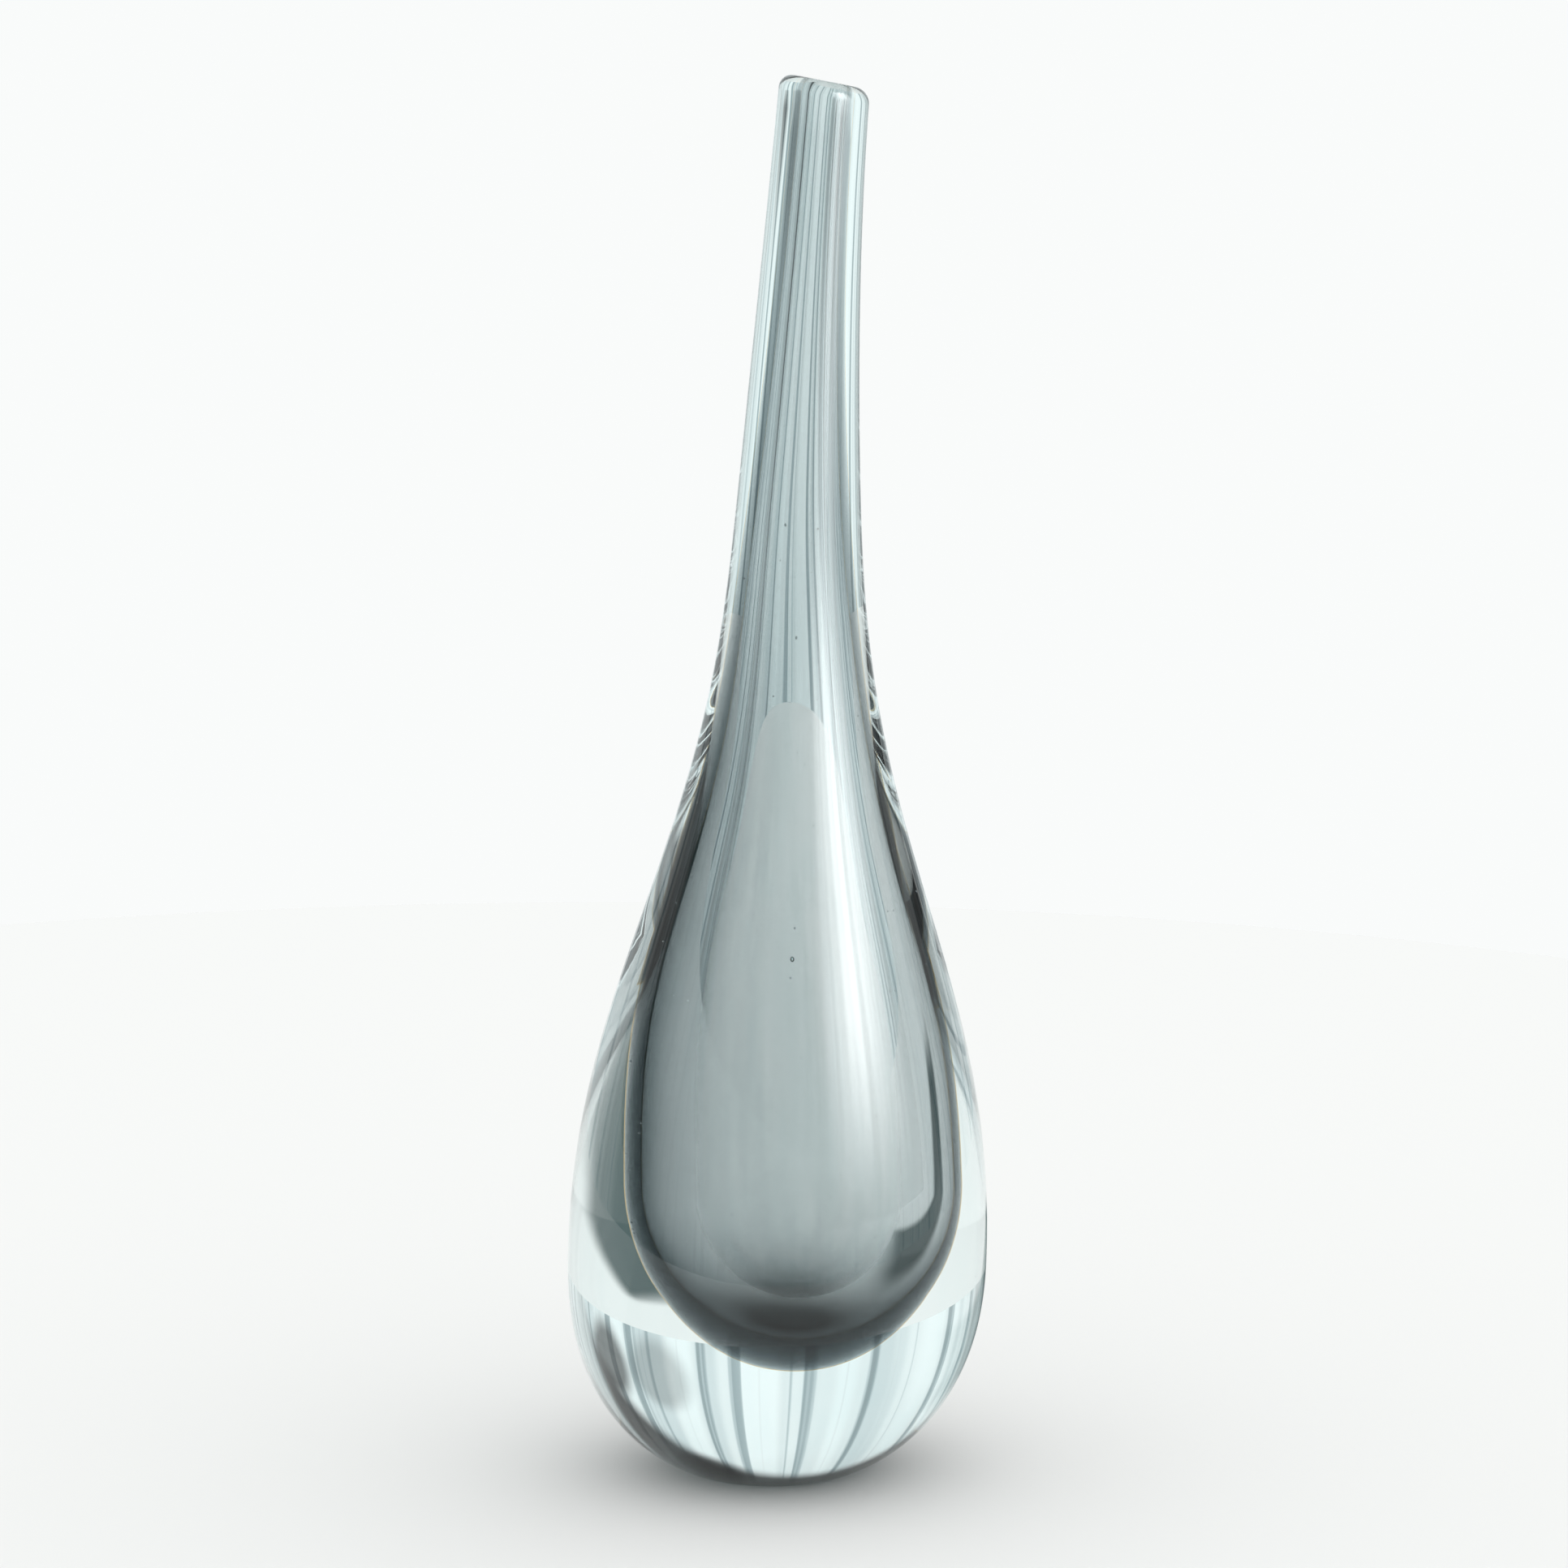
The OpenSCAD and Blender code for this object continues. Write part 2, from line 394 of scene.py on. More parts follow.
def add_absorption(material, tint, density):
    tree = material.node_tree
    volume = tree.nodes.new("ShaderNodeVolumeAbsorption")
    volume.inputs["Color"].default_value = (*tint, 1)
    volume.inputs["Density"].default_value = density
    tree.links.new(volume.outputs["Volume"], tree.nodes["Material Output"].inputs["Volume"])


# Paints a golden glint into a face's colour where the face is seen edge on
def add_painted_glint(material, glint_colour, facing):
    tree = material.node_tree
    shader = tree.nodes["Principled BSDF"]
    edge = tree.nodes.new("ShaderNodeLayerWeight")
    edge.inputs["Blend"].default_value = 0.5
    rim = tree.nodes.new("ShaderNodeMix")
    rim.data_type = "RGBA"
    tree.links.new(spread(tree, edge.outputs["Facing"], *facing, 0, 1), rim.inputs["Factor"])
    tree.links.new(shader.inputs["Base Color"].links[0].from_socket, rim.inputs[6])
    rim.inputs[7].default_value = (*glint_colour, 1)
    tree.links.new(rim.outputs[2], shader.inputs["Base Color"])


clear_glass = glass("clear_glass", (0.90, 0.978, 0.975), (0.85, 0.95, 0.95), GLASS_INDEX, 0.012)
cavity_glass = glass("cavity_glass", (1, 1, 1), (0.97, 0.985, 0.985), GLASS_INDEX, 0.008)
smoke_glass = glass("smoke_glass", (1, 1, 1), (0.94, 0.95, 0.95), NO_BENDING, 0)
add_absorption(smoke_glass, SMOKE_TINT, SMOKE_DENSITY)
fused_glass = glass("fused_glass", (1, 1, 1), (1, 1, 1), NO_BENDING, 0)
# The fused face gets the painted golden glint
add_painted_glint(fused_glass, PAINTED_GLINT, PAINTED_GLINT_FACING)
print("skins of glass:", clear_glass.name, cavity_glass.name, smoke_glass.name, fused_glass.name)

# %% [markdown]
# ## Seeds
# *Seeds* are gas bubbles too small to have risen out of the melt. They follow the gather they came
# with, so they are scattered over a skin inside each wall. Geometry Nodes scatter them from a fixed
# seed number, most of them tiny. Every bubble is a void, so its faces look into it.

# %% A tree that scatters seeds over a skin
FACES_OF_A_SEED = 20
FEW_LARGE = 4


def make_seed_tree():
    tree = bpy.data.node_groups.new("seeds_over_a_skin", "GeometryNodeTree")
    tree.interface.new_socket("Geometry", in_out="INPUT", socket_type="NodeSocketGeometry")
    for label, kind in (("Seeds per m2", "Float"), ("Smallest", "Float"), ("Largest", "Float"),
                        ("Seed number", "Int"), ("Glass", "Material")):
        tree.interface.new_socket(label, in_out="INPUT", socket_type="NodeSocket" + kind)
    tree.interface.new_socket("Geometry", in_out="OUTPUT", socket_type="NodeSocketGeometry")
    link = tree.links.new
    given = tree.nodes.new("NodeGroupInput")
    result = tree.nodes.new("NodeGroupOutput")
    places = tree.nodes.new("GeometryNodeDistributePointsOnFaces")
    link(given.outputs["Geometry"], places.inputs["Mesh"])
    link(given.outputs["Seeds per m2"], places.inputs["Density"])
    link(given.outputs["Seed number"], places.inputs["Seed"])
    bubble = tree.nodes.new("GeometryNodeMeshIcoSphere")
    bubble.inputs["Radius"].default_value = 1
    bubble.inputs["Subdivisions"].default_value = 1
    chance = tree.nodes.new("FunctionNodeRandomValue")
    link(given.outputs["Seed number"], chance.inputs["Seed"])
    few_large = tree.nodes.new("ShaderNodeMath")
    few_large.operation = "POWER"
    few_large.inputs[1].default_value = FEW_LARGE
    link(chance.outputs[1], few_large.inputs[0])
    size = tree.nodes.new("ShaderNodeMapRange")
    link(few_large.outputs[0], size.inputs["Value"])
    link(given.outputs["Smallest"], size.inputs["To Min"])
    link(given.outputs["Largest"], size.inputs["To Max"])
    bubbles = tree.nodes.new("GeometryNodeInstanceOnPoints")
    link(places.outputs["Points"], bubbles.inputs["Points"])
    link(bubble.outputs["Mesh"], bubbles.inputs["Instance"])
    link(size.outputs["Result"], bubbles.inputs["Scale"])
    real = tree.nodes.new("GeometryNodeRealizeInstances")
    inward = tree.nodes.new("GeometryNodeFlipFaces")
    finish = tree.nodes.new("GeometryNodeSetMaterial")
    link(bubbles.outputs["Instances"], real.inputs["Geometry"])
    link(real.outputs["Geometry"], inward.inputs["Mesh"])
    link(inward.outputs["Mesh"], finish.inputs["Geometry"])
    link(given.outputs["Glass"], finish.inputs["Material"])
    link(finish.outputs["Geometry"], result.inputs["Geometry"])
    return tree


seed_tree = make_seed_tree()
print(f"the tree that scatters seeds has {len(seed_tree.nodes)} nodes")


# %% Seeds and blisters, as voids in a shell of glass
def scatter_seeds(skin_rings, per_m2, smallest, largest, seed_number, glass_round_them):
    """Seeds over an open skin of rings, as a plain mesh."""
    skin = bmesh.new()
    loops = [[skin.verts.new(p) for p in points] for points in skin_rings]
    for low, high in zip(loops, loops[1:]):
        for i in range(SIDES):
            k = (i + 1) % SIDES
            skin.faces.new((low[i], low[k], high[k], high[i]))
    host = finish_piece("seed_skin", skin, [])
    spread_them = host.modifiers.new("seeds", "NODES")
    spread_them.node_group = seed_tree
    values = {"Seeds per m2": float(per_m2), "Smallest": smallest, "Largest": largest,
              "Seed number": seed_number, "Glass": glass_round_them}
    for item in seed_tree.interface.items_tree:
        if item.in_out == "INPUT" and item.name in values:
            spread_them[item.identifier] = values[item.name]
    ready = host.evaluated_get(bpy.context.evaluated_depsgraph_get())
    seeds = bpy.data.meshes.new_from_object(ready)
    host.modifiers.remove(spread_them)
    bpy.data.objects.remove(host)
    print(f"{len(seeds.polygons) // FACES_OF_A_SEED} seeds")
    return seeds


def add_voids(shape, voids, slot):
    """Joins bubbles to a shell of glass, as faces of one of its materials."""
    before = len(shape.faces)
    shape.from_mesh(voids)
    shape.faces.ensure_lookup_table()
    for face in shape.faces[before:]:
        face.material_index = slot
        face.smooth = True


def add_blister(shape, place, radius, height, slot):
    """Joins one larger bubble, drawn out upward as the glass round it was."""
    made = bmesh.ops.create_uvsphere(shape, u_segments=24, v_segments=12, radius=1)
    for vert in made["verts"]:
        x, y, z = vert.co
        vert.co = (place[0] + radius * x, place[1] + radius * y, place[2] + height * z)
    faces = list({face for vert in made["verts"] for face in vert.link_faces})
    bmesh.ops.reverse_faces(shape, faces=faces)
    for face in faces:
        face.material_index = slot
        face.smooth = True


print("a shell of glass can now be given seeds and blisters")


# %% [markdown]
# ## The casing
# The casing is one closed shell: from the middle of the ground foot, up the belly and the neck, over the
# rounded lip, and back down the face where it is fused to the lining. The foot's edge is rolled a little,
# as a ground foot is once its edge has been taken off. Where the two glasses are fused nothing bends
# light, so that face has no refraction of its own, only a thin golden edge where it is seen side on, which
# is a painted glint.

# %% Outline of the casing
ROUND_RINGS, NECK_RINGS = 60, 70
HIDDEN_ROUND_RINGS, HIDDEN_NECK_RINGS = 36, 40
FOOT_RINGS = 6
LIP_RINGS = 10
# Fire-polishing has drawn the edge of the lip into a larger, softer round than the solid model's
SOFT_LIP = 4.6 * MM
EDGE_HEIGHT = LIP_HEIGHT - SOFT_LIP
FLAT_OF_LIP = LINING_LIP_RADIUS + 0.4 * MM
FLAT_OF_FOOT = FOOT_RADIUS - 1.2 * FOOT_ROLL


def heights_of_skin(low, widest, high, round_rings, neck_rings):
    return up_a_round(low, widest, round_rings)[1:] + up_a_neck(widest, high, neck_rings)[1:]


outline = [(0, FLAT_OF_FOOT)]
for i in range(FOOT_RINGS + 1):
    t = i / FOOT_RINGS
    rolled = (1 - t) ** 2 * (FOOT_RADIUS - FOOT_ROLL) + 2 * t * (1 - t) * FOOT_RADIUS
    outline.append((t * t * FOOT_ROLL, rolled + t * t * casing_radius(FOOT_ROLL)))
for z in heights_of_skin(FOOT_ROLL, BELLY_HEIGHT, EDGE_HEIGHT, ROUND_RINGS, NECK_RINGS):
    outline.append((z, casing_radius(z)))
for i in range(1, LIP_RINGS + 1):
    a = math.pi / 2 * i / LIP_RINGS
    edge_radius = casing_radius(EDGE_HEIGHT) - SOFT_LIP * (1 - math.cos(a))
    outline.append((EDGE_HEIGHT + SOFT_LIP * math.sin(a), edge_radius))
outline.append((LIP_HEIGHT, FLAT_OF_LIP))
print(f"the casing's outline has {len(outline)} rings")

# %% The casing
CLEAR, FUSED_TO_LINING = 0, 1
CASING_SEEDS_PER_M2 = 1300
CASING_SEED_NUMBER = 11
SMALLEST_SEED, LARGEST_IN_CASING = 0.06 * MM, 0.25 * MM
casing_rings = [ring(z, casing_middle(z), r) for z, r in outline]
joint_heights = heights_of_skin(BASE_GLASS, BULB_HEIGHT, LIP_HEIGHT,
                                HIDDEN_ROUND_RINGS, HIDDEN_NECK_RINGS)
joint_rings = [ring(z, lining_middle(z), lining_radius(z)) for z in joint_heights]
shape = bmesh.new()
add_shell(shape, casing_rings + joint_rings[::-1],
          [CLEAR] * (len(casing_rings) + 1) + [FUSED_TO_LINING] * len(joint_rings),
          (casing_middle(0), 0, 0), (lining_middle(BASE_GLASS), 0, BASE_GLASS),
          polished=CLEAR, sharp=[len(casing_rings)])
casing_skin = []
for height in range(60, 320, 10):
    z = height * MM
    casing_skin.append(ring(z, lining_middle(z), (casing_radius(z) + lining_radius(z)) / 2))
seeds = scatter_seeds(casing_skin, CASING_SEEDS_PER_M2, SMALLEST_SEED, LARGEST_IN_CASING,
                      CASING_SEED_NUMBER, clear_glass)
add_voids(shape, seeds, CLEAR)
# Larger bubbles in the front of the casing, as x, y, z, radius and half height in millimetres
BLISTERS = [(6.4, -41, 168, 0.6, 0.8), (7.1, -38, 177, 0.25, 0.3), (5.9, -42, 162.5, 0.22, 0.3),
            (4.7, -15, 297, 0.3, 0.45), (7.7, -18, 263, 0.3, 0.5)]
for x, y, z, radius, half_height in BLISTERS:
    add_blister(shape, (x * MM, y * MM, z * MM), radius * MM, half_height * MM, CLEAR)
casing = finish_piece("clear_glass_casing", shape, [clear_glass, fused_glass])

# %% [markdown]
# ## The lining
# The smoke glass has a colour that deepens with its thickness: pale in the thin neck, nearly black in
# the thick bottom. So its body is a volume that absorbs light, closed on every side by one material.
# The polished wall of the cavity, where glass meets air and light bends, is a skin of its own, a few
# hundredths of a millimetre away.

# %% The way over the lip and down the cavity
def down_the_cavity(inset, round_rings, neck_rings):
    """Rings over the lining's rounded top edge and down the cavity, set inset back into the glass."""
    roll = LIP_WALL / 2
    path = [(LIP_HEIGHT - inset, LINING_LIP_RADIUS - inset)]
    for i in range(LIP_RINGS + 1):
        a = math.pi / 2 * i / LIP_RINGS
        path.append((LIP_HEIGHT - roll + (roll - inset) * math.cos(a),
                     LINING_LIP_RADIUS - roll - (roll - inset) * math.sin(a)))
    floor = CAVITY_FLOOR - inset
    heights = heights_of_skin(floor, BULB_HEIGHT, LIP_HEIGHT - roll, round_rings, neck_rings)
    for z in heights[-2::-1]:
        path.append((z, cavity_radius(z, inset)))
    return [ring(z, cavity_middle(z), r) for z, r in path]


print(f"the cavity is {(LIP_HEIGHT - CAVITY_FLOOR) / MM:.0f} mm deep")

# %% The lining
# Skins that lie against each other keep a hair's breadth, so that no two are ever in one place
HAIR = 0.02 * MM
SMOKE, POLISHED, FUSED_BEHIND = 0, 1, 2
# The clear glass closes over the grey at the very lip, so the grey is pinched in there
PINCH = 1.0 * MM
PINCH_LENGTH = 16 * MM
LINING_SEEDS_PER_M2 = 14000
LINING_SEED_NUMBER = 5
LARGEST_IN_LINING = 0.28 * MM
SEED_DEPTH = 0.5 * MM
smoke_out = []
for z in heights_of_skin(BASE_GLASS + HAIR, BULB_HEIGHT, LIP_HEIGHT,
                         HIDDEN_ROUND_RINGS, HIDDEN_NECK_RINGS)[:-1]:
    pinch = PINCH * ease((z - LIP_HEIGHT + PINCH_LENGTH) / PINCH_LENGTH)
    smoke_out.append(ring(z, lining_middle(z), lining_radius(z, HAIR + pinch)))
smoke_in = down_the_cavity(5 * HAIR, HIDDEN_ROUND_RINGS, HIDDEN_NECK_RINGS)[1:]
skin_back = down_the_cavity(3 * HAIR, HIDDEN_ROUND_RINGS, HIDDEN_NECK_RINGS)[::-1]
skin_front = down_the_cavity(0, ROUND_RINGS, NECK_RINGS)
below_cavity = cavity_middle(CAVITY_FLOOR)
shape = bmesh.new()
add_shell(shape, smoke_out + smoke_in, [SMOKE] * (len(smoke_out) + len(smoke_in) + 1),
          (lining_middle(BASE_GLASS), 0, BASE_GLASS + HAIR),
          (below_cavity, 0, CAVITY_FLOOR - 5 * HAIR), polished=POLISHED)
add_shell(shape, skin_back + skin_front,
          [FUSED_BEHIND] * len(skin_back) + [POLISHED] * (len(skin_front) + 1),
          (below_cavity, 0, CAVITY_FLOOR - 3 * HAIR), (below_cavity, 0, CAVITY_FLOOR),
          polished=POLISHED, sharp=[len(skin_back) - 1, len(skin_back)])
seed_heights = heights_of_skin(BASE_GLASS + 1 * MM, BULB_HEIGHT, 300 * MM, 16, 20)
lining_skin = [ring(z, lining_middle(z), lining_radius(z) - SEED_DEPTH) for z in seed_heights]
seeds = scatter_seeds(lining_skin, LINING_SEEDS_PER_M2, SMALLEST_SEED, LARGEST_IN_LINING,
                      LINING_SEED_NUMBER, cavity_glass)
add_voids(shape, seeds, POLISHED)
lining = finish_piece("smoke_glass_lining", shape, [smoke_glass, cavity_glass, fused_glass])

# %% [markdown]
# ## Joining the frame
# Both glasses ride on the frame's one body, because nothing in a vase moves. Each takes the place of the
# solid that it stands for.

# %% Ride
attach(casing, "root")
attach(lining, "root")
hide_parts("clear_casing")
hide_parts("smoke_lining")
print("both glasses ride on the root body")

# %% [markdown]
# ## The table
# A pale, dull table top. Its far edge is out of sight from the camera, and yet close enough that the
# neck, which bends rays upward over it, looks out at the bright room.

# %% Table
TABLE_RADIUS = 0.74
TABLE_MIDDLE = (-0.08, 0.33)
TABLE_DROP = 0.1 * MM
shape = bmesh.new()
bmesh.ops.create_circle(shape, cap_ends=True, segments=256, radius=TABLE_RADIUS)
bmesh.ops.translate(shape, verts=shape.verts, vec=(*TABLE_MIDDLE, -TABLE_DROP))
pale_top = bpy.data.materials.new("pale_top")
pale_top.use_nodes = True
shader = pale_top.node_tree.nodes["Principled BSDF"]
shader.inputs["Base Color"].default_value = (0.785, 0.785, 0.775, 1)
shader.inputs["Roughness"].default_value = 0.6
shader.inputs["Specular IOR Level"].default_value = 0.0
table = finish_piece("table_top", shape, [pale_top])
table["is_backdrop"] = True

# %% [markdown]
# ## The light
# Soft daylight from all round, stronger from above and from the right. The camera sees a plain pale
# backdrop, while the table is lit by the stronger light.

# %% Light
SHARE_FROM_THE_RIGHT = 0.45
DAYLIGHT_LOW, DAYLIGHT_HIGH = 0.85, 1.38
world = bpy.data.worlds.new("studio")
bpy.context.scene.world = world
world.use_nodes = True
tree = world.node_tree
tree.nodes.clear()
where = tree.nodes.new("ShaderNodeTexCoord")
split = tree.nodes.new("ShaderNodeSeparateXYZ")
tree.links.new(where.outputs["Generated"], split.inputs[0])
lit = tree.nodes.new("ShaderNodeBackground")
lit.inputs["Color"].default_value = (0.985, 1.0, 1.0, 1)
from_the_right = maths(tree, "MULTIPLY", split.outputs["X"], SHARE_FROM_THE_RIGHT)
slant = maths(tree, "ADD", from_the_right, split.outputs["Z"])
tree.links.new(spread(tree, slant, 0.0, 1.0, DAYLIGHT_LOW, DAYLIGHT_HIGH), lit.inputs["Strength"])
seen = tree.nodes.new("ShaderNodeBackground")
seen.inputs["Color"].default_value = (0.95, 0.965, 0.96, 1)
path = tree.nodes.new("ShaderNodeLightPath")
choice = tree.nodes.new("ShaderNodeMixShader")
tree.links.new(path.outputs["Is Camera Ray"], choice.inputs[0])
tree.links.new(lit.outputs[0], choice.inputs[1])
tree.links.new(seen.outputs[0], choice.inputs[2])
output = tree.nodes.new("ShaderNodeOutputWorld")
tree.links.new(choice.outputs[0], output.inputs["Surface"])
print(f"the daylight is {DAYLIGHT_LOW} low on the left and {DAYLIGHT_HIGH} high on the right")

# %% [markdown]
# ## The room that the glass sees
# Clear glass has no look of its own. It shows the room behind it, squeezed and turned round. So a dome
# stands for the room and only the glass sees it: a wide curtained window behind the vase, a darker wall
# on the left, a dim ceiling, and the folds of the curtain, which come out as the fine lines in the foot.

# %% Cards that only the glass sees
def card_material(name):
    material = bpy.data.materials.new(name)
    material.use_nodes = True
    material.cycles.emission_sampling = "NONE"
    tree = material.node_tree
    tree.nodes.clear()
    glow = tree.nodes.new("ShaderNodeEmission")
    output = tree.nodes.new("ShaderNodeOutputMaterial")
    tree.links.new(glow.outputs[0], output.inputs["Surface"])
    where = tree.nodes.new("ShaderNodeTexCoord")
    return material, tree, glow, where.outputs["Object"]


def only_for_glass(card, through_glass=True):
    card.visible_camera = False
    card.visible_diffuse = False
    card.visible_shadow = False
    card.visible_volume_scatter = False
    card.visible_transmission = through_glass
    card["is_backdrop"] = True


def squared_share(tree, value, middle, half):
    """How far a value lies from a middle, as a share of half a width, squared."""
    share = maths(tree, "DIVIDE", maths(tree, "SUBTRACT", value, middle), half)
    return maths(tree, "MULTIPLY", share, share)


print("a card can now be hidden from everything but the glass")


# %% [markdown]
# ## Light and dark round the room
# The dome's brightness is a band that runs round it. Angles are counted from straight behind the vase,
# and grow to the right. In front of the band stands the window behind, whose edge is a slanting line.

# %% The room's brightness all round
ROOM_RADIUS = 4
ROOM_MIDDLE = (0, 0, 0.15)
# Angle in degrees, and level
AROUND = [(-180, 0.45), (-150, 0.35), (-128, 0.14), (-82, 0.14), (-70, 0.80), (-58, 0.0),
          (48, 0.0), (56, 0.70), (72, 0.95), (105, 1.00), (135, 0.80), (158, 0.50)]
BEHIND_FACING = (-0.274, 0.738, -0.617)
BEHIND_EDGE = (0.13, 0.27)
BEHIND_LEVELS = (0.07, 0.97)
BEHIND_LEFT = (math.radians(-72), math.radians(-58))
BEHIND_RIGHT = (math.radians(62), math.radians(76))
shape = bmesh.new()
bmesh.ops.create_uvsphere(shape, u_segments=64, v_segments=32, radius=ROOM_RADIUS)
bmesh.ops.reverse_faces(shape, faces=shape.faces)
room_light, tree, glow, spot = card_material("room_seen_in_glass")
facing = tree.nodes.new("ShaderNodeVectorMath")
facing.operation = "NORMALIZE"
tree.links.new(spot, facing.inputs[0])
split = tree.nodes.new("ShaderNodeSeparateXYZ")
tree.links.new(facing.outputs[0], split.inputs[0])
side, back, up = split.outputs
azimuth = maths(tree, "ARCTAN2", side, back)
bands = tree.nodes.new("ShaderNodeValToRGB")
bands.color_ramp.interpolation = "EASE"
tree.links.new(spread(tree, azimuth, -math.pi, math.pi, 0, 1, smooth=False), bands.inputs[0])
ramp = bands.color_ramp
for end in ramp.elements:
    end.color = (AROUND[0][1],) * 3 + (1,)
for angle, level in AROUND[1:]:
    ramp.elements.new((angle + 180) / 360).color = (level,) * 3 + (1,)
inside = tree.nodes.new("ShaderNodeVectorMath")
inside.operation = "DOT_PRODUCT"
inside.inputs[1].default_value = BEHIND_FACING
tree.links.new(facing.outputs[0], inside.inputs[0])
behind = spread(tree, inside.outputs["Value"], *BEHIND_EDGE, *BEHIND_LEVELS)
behind = maths(tree, "MULTIPLY", behind, spread(tree, azimuth, *BEHIND_LEFT, 0, 1))
behind = maths(tree, "MULTIPLY", behind, spread(tree, azimuth, *BEHIND_RIGHT, 1, 0))
print(f"the room's brightness is given at {len(ramp.elements)} angles")

# %% [markdown]
# ## Folds, corners and ceiling
# The curtain hangs in broad folds with finer ones in them. Three darker corners and the ceiling dim the
# light, and where a fold is dark its light is a little bluer.

# %% Folds, corners and ceiling
FOLD_SHIFT = 5.4
BROAD_FOLDS, FINE_FOLDS = 4.5, 12.0
# Angle, rise, half width and half height in degrees, and level
DARK_CORNERS = [(43, 6, 9, 10, 0.20), (25, 5, 9, 9, 0.62), (21, 40, 15, 9, 0.15)]
CEILING_EDGE = (0.62, 0.8)
CEILING_LEVEL = 0.3
broad = tree.nodes.new("ShaderNodeTexNoise")
broad.noise_dimensions = "1D"
broad.inputs["Scale"].default_value = BROAD_FOLDS
tree.links.new(maths(tree, "ADD", azimuth, FOLD_SHIFT), broad.inputs["W"])
folds = tree.nodes.new("ShaderNodeTexNoise")
folds.noise_dimensions = "1D"
folds.inputs["Scale"].default_value = FINE_FOLDS
folds.inputs["Detail"].default_value = 3.0
folds.inputs["Roughness"].default_value = 0.55
tree.links.new(maths(tree, "ADD", azimuth, FOLD_SHIFT), folds.inputs["W"])
curtain = spread(tree, folds.outputs[0], 0.34, 0.46, 0.55, 1.08)
curtain = maths(tree, "MULTIPLY", curtain, spread(tree, broad.outputs[0], 0.38, 0.58, 0.78, 1.0))
roomlight = maths(tree, "MAXIMUM", bands.outputs["Color"], behind)
roomlight = maths(tree, "MULTIPLY", roomlight, curtain)
for angle, rise, half_across, half_up, level in DARK_CORNERS:
    across = squared_share(tree, azimuth, math.radians(angle), math.radians(half_across))
    upward = squared_share(tree, up, math.sin(math.radians(rise)), math.radians(half_up))
    away = maths(tree, "SQRT", maths(tree, "ADD", across, upward))
    roomlight = maths(tree, "MULTIPLY", roomlight, spread(tree, away, 0.6, 1.15, level, 1))
roomlight = maths(tree, "MULTIPLY", roomlight, spread(tree, up, *CEILING_EDGE, 1, CEILING_LEVEL))
tree.links.new(roomlight, glow.inputs["Strength"])
tint = tree.nodes.new("ShaderNodeMix")
tint.data_type = "RGBA"
tree.links.new(spread(tree, curtain, 0.5, 1.0, 0, 1, smooth=False), tint.inputs["Factor"])
tint.inputs[6].default_value = (0.80, 0.96, 1.0, 1)
tint.inputs[7].default_value = (0.94, 1.0, 1.0, 1)
tree.links.new(tint.outputs[2], glow.inputs["Color"])
room = finish_piece("room_card", shape, [room_light])
room.location = ROOM_MIDDLE
only_for_glass(room)

# %% [markdown]
# ## The highlight
# A second window, to the right of the camera, is seen only as a reflection in the front of the vase.
# It makes the tall soft highlight, and its slats break it up a little.

# %% The window that gives the highlight
WINDOW_AZIMUTH = math.radians(127)
WINDOW_DISTANCE = 1.5
WINDOW_WIDTH = 1.9
WINDOW_LOW, WINDOW_HIGH = -0.05, 1.65
WINDOW_FULL_AT = 0.75
WINDOW_GLOW = 12.0
SLATS_PER_METRE = 7.0
shape = bmesh.new()
half = WINDOW_WIDTH / 2
corners = ((-half, 0, WINDOW_LOW), (half, 0, WINDOW_LOW), (half, 0, WINDOW_HIGH), (-half, 0, WINDOW_HIGH))
shape.faces.new([shape.verts.new(p) for p in corners])
window_light, tree, glow, spot = card_material("window_glow")
split = tree.nodes.new("ShaderNodeSeparateXYZ")
tree.links.new(spot, split.inputs[0])
across = maths(tree, "ABSOLUTE", split.outputs["X"])
level = spread(tree, across, 0.0, half, 1, 0)
from_below = spread(tree, split.outputs["Z"], WINDOW_LOW, WINDOW_FULL_AT, 0, 1)
level = maths(tree, "MULTIPLY", level, from_below)
slats = tree.nodes.new("ShaderNodeTexNoise")
slats.noise_dimensions = "1D"
slats.inputs["Scale"].default_value = SLATS_PER_METRE
slats.inputs["Detail"].default_value = 3.0
tree.links.new(split.outputs["X"], slats.inputs["W"])
level = maths(tree, "MULTIPLY", level, spread(tree, slats.outputs[0], 0.35, 0.6, 0.7, 1.1))
tree.links.new(maths(tree, "MULTIPLY", level, WINDOW_GLOW), glow.inputs["Strength"])
window_card = finish_piece("window_card", shape, [window_light])
window_card.location.x = WINDOW_DISTANCE * math.sin(WINDOW_AZIMUTH)
window_card.location.y = WINDOW_DISTANCE * math.cos(WINDOW_AZIMUTH)
window_card.rotation_euler = (0, 0, -WINDOW_AZIMUTH)
only_for_glass(window_card, through_glass=False)
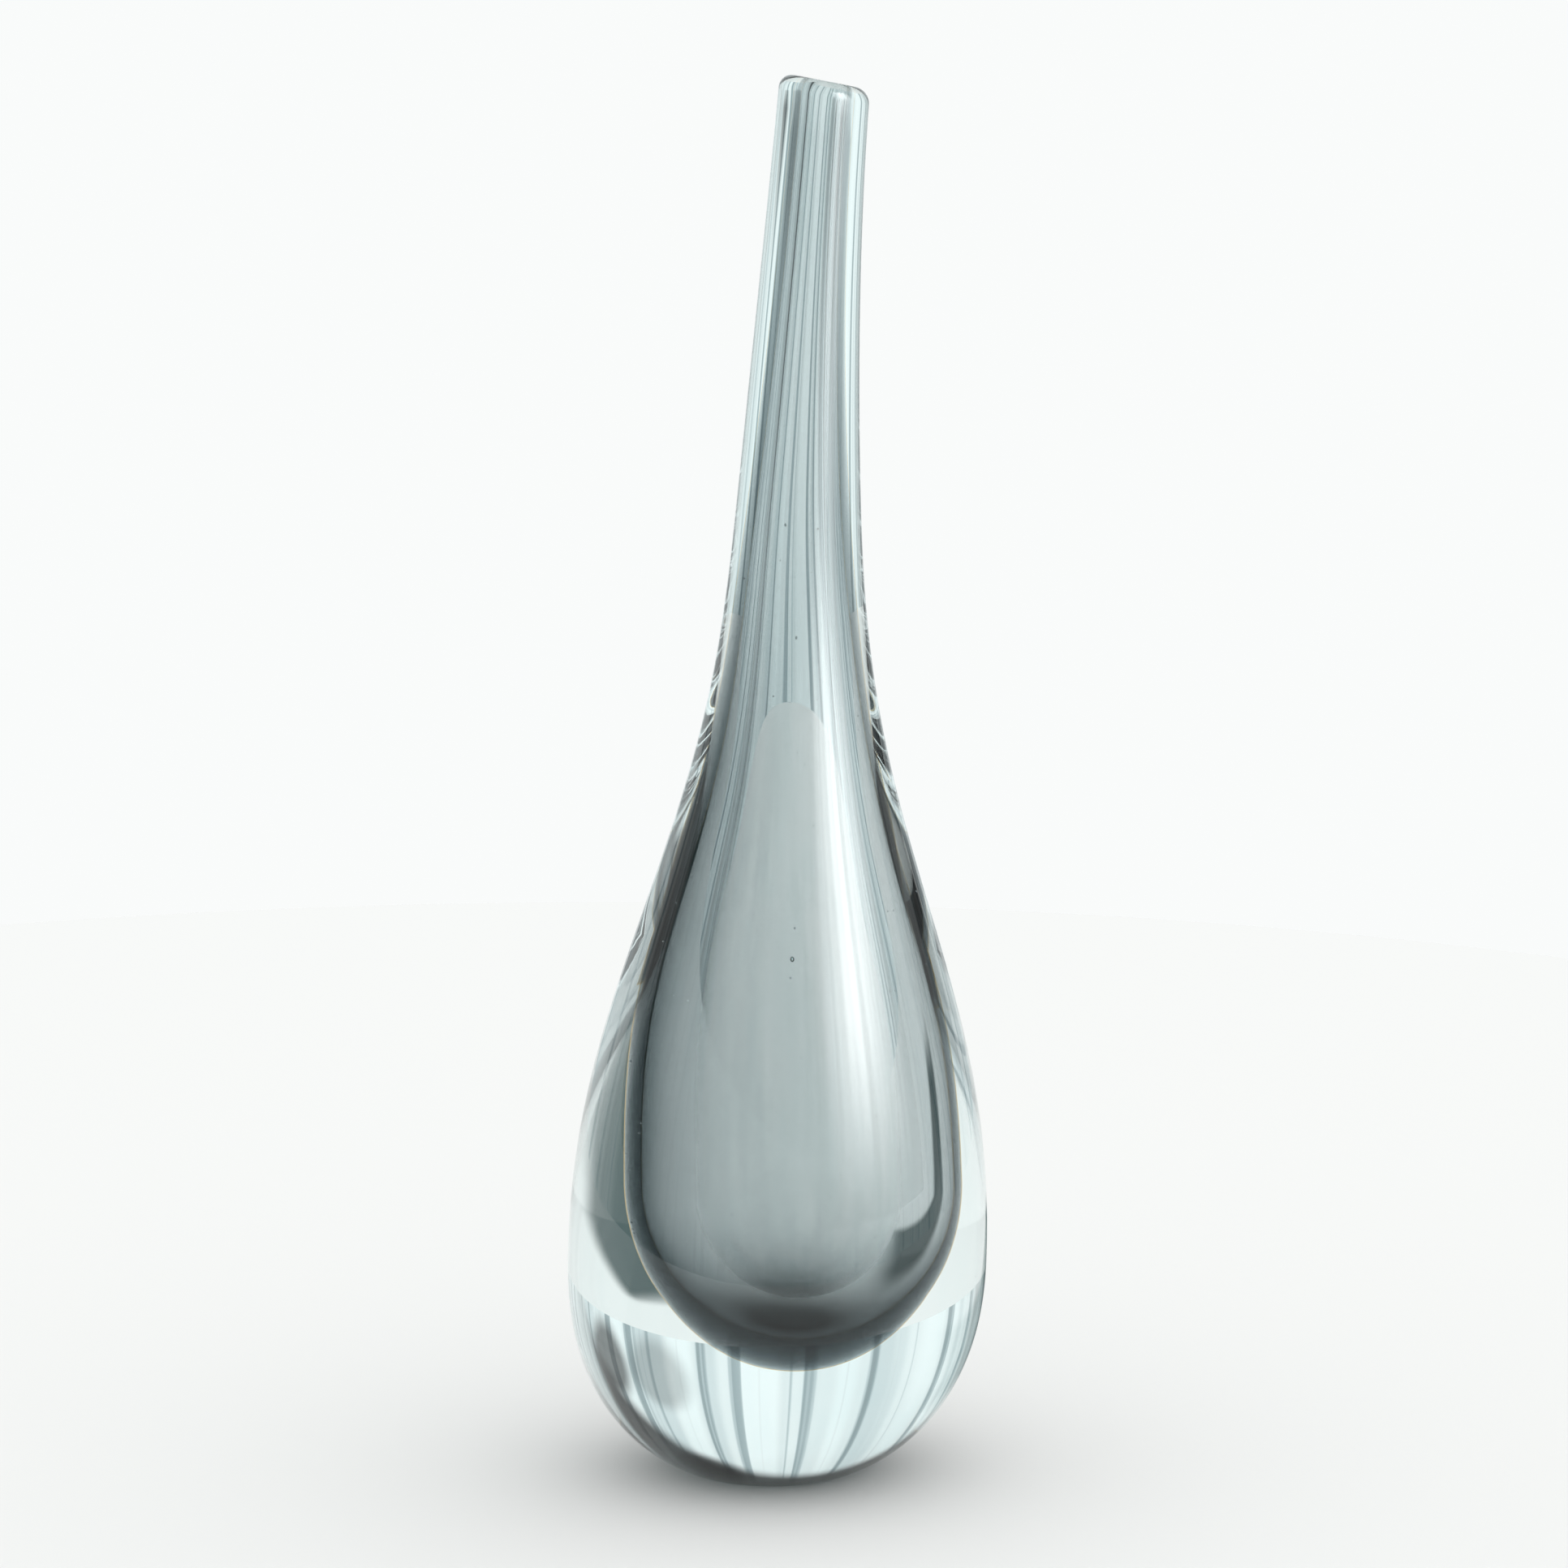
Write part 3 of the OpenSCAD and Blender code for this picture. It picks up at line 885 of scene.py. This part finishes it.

# %% [markdown]
# ## A painted dark reflection beside it
# A dim blue-green card lies on the table behind the vase and to its right, a painted dark reflection, for
# there is nothing dark there. The camera doesn't see it, but the clear glass shows it, turned round, as the
# blue-green band down the left of the casing. The bulb mirrors it as the crescent on the right. A ray keeps
# count of the skins it has crossed, so the card can tell clear glass (2) and the mirrored view (about 10)
# from the rest, and stays out of the cavity (12).

# %% The painted dark reflection on the table, seen only in the glass
CLEAR_ONLY = 3.5
MIRRORED_IN_BULB = (8, 11)
PATCH_MIDDLE = (0.120, 0.180)
PATCH_HALF = (0.064, 0.215)
PATCH_SOFT_FROM = (0.5, 0.7)
PATCH_GLOW = 0.13
PATCH_LIFT = 0.5 * MM
shape = bmesh.new()
corners = [(sign_x * PATCH_HALF[0], sign_y * PATCH_HALF[1], 0)
           for sign_x, sign_y in ((-1, -1), (1, -1), (1, 1), (-1, 1))]
shape.faces.new([shape.verts.new(p) for p in corners])
# The card's dim blue-green glow paints the dark reflection that the glass shows
dark_reflection_light, tree, glow, spot = card_material("painted_dark_reflection")
glow.inputs["Color"].default_value = (0.70, 1.0, 1.0, 1)
glow.inputs["Strength"].default_value = PATCH_GLOW
split = tree.nodes.new("ShaderNodeSeparateXYZ")
tree.links.new(spot, split.inputs[0])
covers = [spread(tree, maths(tree, "ABSOLUTE", split.outputs[axis]), soft_from * reach, reach, 1, 0)
          for axis, reach, soft_from in zip("XY", PATCH_HALF, PATCH_SOFT_FROM)]
skins = tree.nodes.new("ShaderNodeLightPath").outputs["Transmission Depth"]
mirrored = maths(tree, "MULTIPLY", maths(tree, "GREATER_THAN", skins, MIRRORED_IN_BULB[0]),
                 maths(tree, "LESS_THAN", skins, MIRRORED_IN_BULB[1]))
seen_here = maths(tree, "ADD", maths(tree, "LESS_THAN", skins, CLEAR_ONLY), mirrored)
cover = maths(tree, "MULTIPLY", maths(tree, "MULTIPLY", *covers), seen_here)
fade = tree.nodes.new("ShaderNodeMixShader")
tree.links.new(cover, fade.inputs[0])
tree.links.new(tree.nodes.new("ShaderNodeBsdfTransparent").outputs[0], fade.inputs[1])
tree.links.new(glow.outputs[0], fade.inputs[2])
tree.links.new(fade.outputs[0], tree.nodes["Material Output"].inputs["Surface"])
# A card for the painted dark reflection, hidden from the camera
dark_reflection_card = finish_piece("painted_dark_reflection", shape, [dark_reflection_light])
dark_reflection_card.location = (*PATCH_MIDDLE, PATCH_LIFT)
only_for_glass(dark_reflection_card)

# %% [markdown]
# ## The camera
# It stands a metre and a half in front, level with the lip, and looks down by about eight degrees, so
# that the foot shows as a shallow curve and the lip is seen edge on. The long lens keeps the neck and
# the belly in proportion. Many bounces are allowed, since a ray that is caught between the two glasses
# may be turned back a dozen times before it comes out.

# %% Camera
LOOKS_DOWN = math.radians(8.13)
GLASS_BOUNCES = 48
camera_data = bpy.data.cameras.new("camera")
camera_data.lens = 113.0
camera_data.sensor_width = 36
camera_data.clip_start = 0.05
camera = bpy.data.objects.new("camera", camera_data)
bpy.context.collection.objects.link(camera)
camera.location = (0.004, -1.5, 0.43)
camera.rotation_euler = (math.pi / 2 - LOOKS_DOWN, 0, 0)
bpy.context.scene.camera = camera

scene = bpy.context.scene
scene.view_settings.view_transform = "Standard"
scene.cycles.max_bounces = GLASS_BOUNCES
scene.cycles.transmission_bounces = GLASS_BOUNCES
scene.cycles.glossy_bounces = 24

print(f"the camera stands {-camera.location.y:.1f} m in front, {camera.location.z:.2f} m up")

# %% [markdown]
# ## The size
# The boxes of the measured solids and of the visible glass are printed side by side.

# %% Finish
VISUAL_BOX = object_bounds()
for axis, name in enumerate("xyz"):
    solid = SOLID_BOX[1][axis] - SOLID_BOX[0][axis]
    visible = VISUAL_BOX[1][axis] - VISUAL_BOX[0][axis]
    print(f"along {name} the solids are {solid / MM:.1f} mm, and the visible glass is {visible / MM:.1f} mm")
